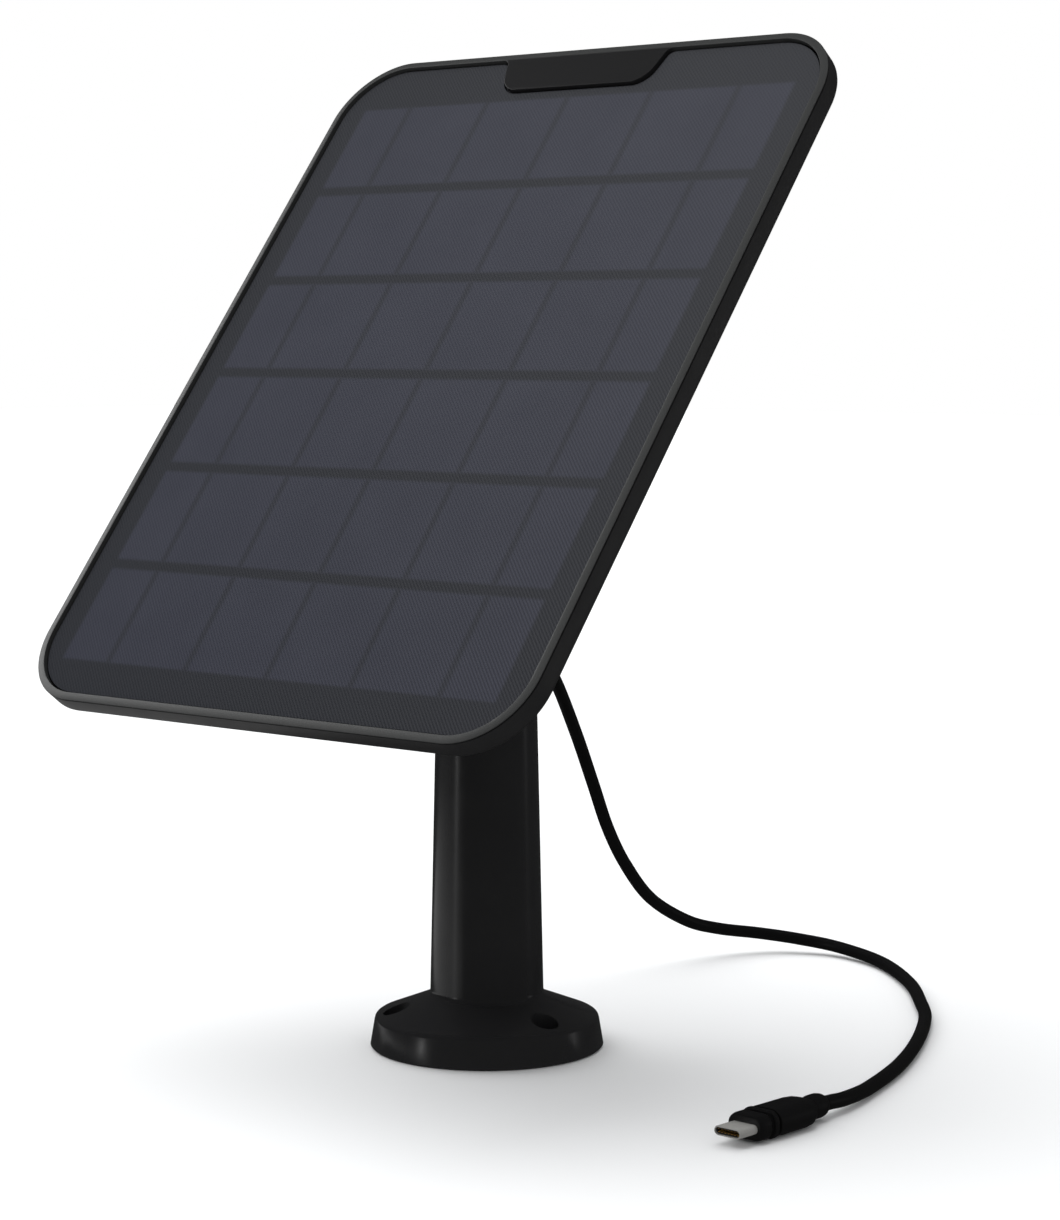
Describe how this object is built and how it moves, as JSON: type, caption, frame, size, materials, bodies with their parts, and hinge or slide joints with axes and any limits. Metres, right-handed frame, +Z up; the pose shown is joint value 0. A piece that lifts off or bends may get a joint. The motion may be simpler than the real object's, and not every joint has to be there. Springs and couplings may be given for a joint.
{
  "type": "solar charging panel",
  "caption": "Rounded solar charging panel that tilts and swivels on a flanged post bracket, with a short lead ending in a USB-C plug.",
  "frame": {"origin": "centre of the flange's underside, where the post's axis meets the mounting surface", "axes": "+Z up the post's axis, -Y the way the panel faces, +X to the right of someone who stands behind it looking along +Y"},
  "size_m": [0.2102, 0.2556, 0.2746],
  "materials": {
    "bracket_plastic": "satin moulded, fine sheen",
    "control_plastic": "satin moulded",
    "housing_plastic": "fine matte moulded",
    "frame_plastic": "satin dark grey",
    "zinc_steel": "zinc plated",
    "spring_steel": "drawn spring wire",
    "insert_brass": "turned",
    "seal_rubber": "matte",
    "vent_plastic": "matte",
    "lead_jacket": "satin flexible jacket",
    "plug_overmould": "satin moulded over",
    "nylon_white": "natural nylon",
    "circuit_board": "green solder mask",
    "backing_sheet": "black back sheet",
    "coil_copper": "enamelled copper",
    "chip_black": "moulded package",
    "wire_red": "insulated wire",
    "ribbon_metal": "tinned ribbon, dull",
    "film_embossed": "satin embossed film",
    "cell_silicon": "dark silicon",
    "plug_steel": "polished nickel plate",
    "plug_insert": "black moulding"
  },
  "bodies": {
    "root": {"bracket_post": "bracket_plastic", "lead_tube": "lead_jacket", "plug_relief": "lead_jacket", "plug_body": "plug_overmould", "plug_collar": "lead_jacket", "usb_shell": "plug_steel", "usb_tongue": "plug_insert"},
    "lock_ring": {"pan_lock_ring": "control_plastic"},
    "head": {"swivel_head": "bracket_plastic", "pivot_screw": "zinc_steel", "pivot_washer": "zinc_steel", "tilt_bolt": "zinc_steel", "friction_washers": "seal_rubber"},
    "knob": {"tilt_knob": "control_plastic", "knob_insert": "insert_brass"},
    "button": {"release_button": "control_plastic"},
    "panel": {"tilt_arm": "control_plastic", "rear_socket": "control_plastic", "socket_screws": "zinc_steel", "catch_spring": "spring_steel", "catch_cap": "control_plastic", "back_cover": "housing_plastic", "cover_gasket": "seal_rubber", "cover_screws": "zinc_steel", "vent_plug": "vent_plastic", "cable_gland": "lead_jacket", "gland_nut": "vent_plastic", "lead_inner": "lead_jacket", "lead_cores": "wire_red", "board_socket": "nylon_white", "charge_board": "circuit_board", "board_screws": "zinc_steel", "board_coil": "coil_copper", "board_chips": "chip_black", "feed_wires": "wire_red", "rear_housing": "housing_plastic", "front_frame": "frame_plastic", "backing_board": "backing_sheet", "ribbons": "ribbon_metal", "cover_film": "film_embossed", "cell_strip_1": "cell_silicon", "cell_strip_2": "cell_silicon", "cell_strip_3": "cell_silicon", "cell_strip_4": "cell_silicon", "cell_strip_5": "cell_silicon", "cell_strip_6": "cell_silicon"}
  },
  "joints": [
    {"name": "pan", "type": "hinge", "parent": "root", "child": "head", "pos_m": [0, 0, 0.118], "axis": [0, 0, 1], "range_deg": [-90, 90]},
    {"name": "lock_ring_turn", "type": "hinge", "parent": "root", "child": "lock_ring", "pos_m": [0, 0, 0.115], "axis": [0, 0, 1], "range_deg": [0, 120]},
    {"name": "tilt", "type": "hinge", "parent": "head", "child": "panel", "pos_m": [0, 0, 0.1677], "axis": [1, 0, 0], "range_deg": [-50, 35], "deforming": ["lead_tube"]},
    {"name": "tilt_knob_turn", "type": "hinge", "parent": "head", "child": "knob", "pos_m": [0.0185, 0, 0.1677], "axis": [1, 0, 0], "range_deg": [0, 270]},
    {"name": "release_press", "type": "slide", "parent": "panel", "child": "button", "axis": [0, -0.7891, 0.6143], "range_m": [0, 0.0028], "stiffness_N_per_m": 800, "springref_m": -0.002, "deforming": ["catch_spring"]}
  ]
}
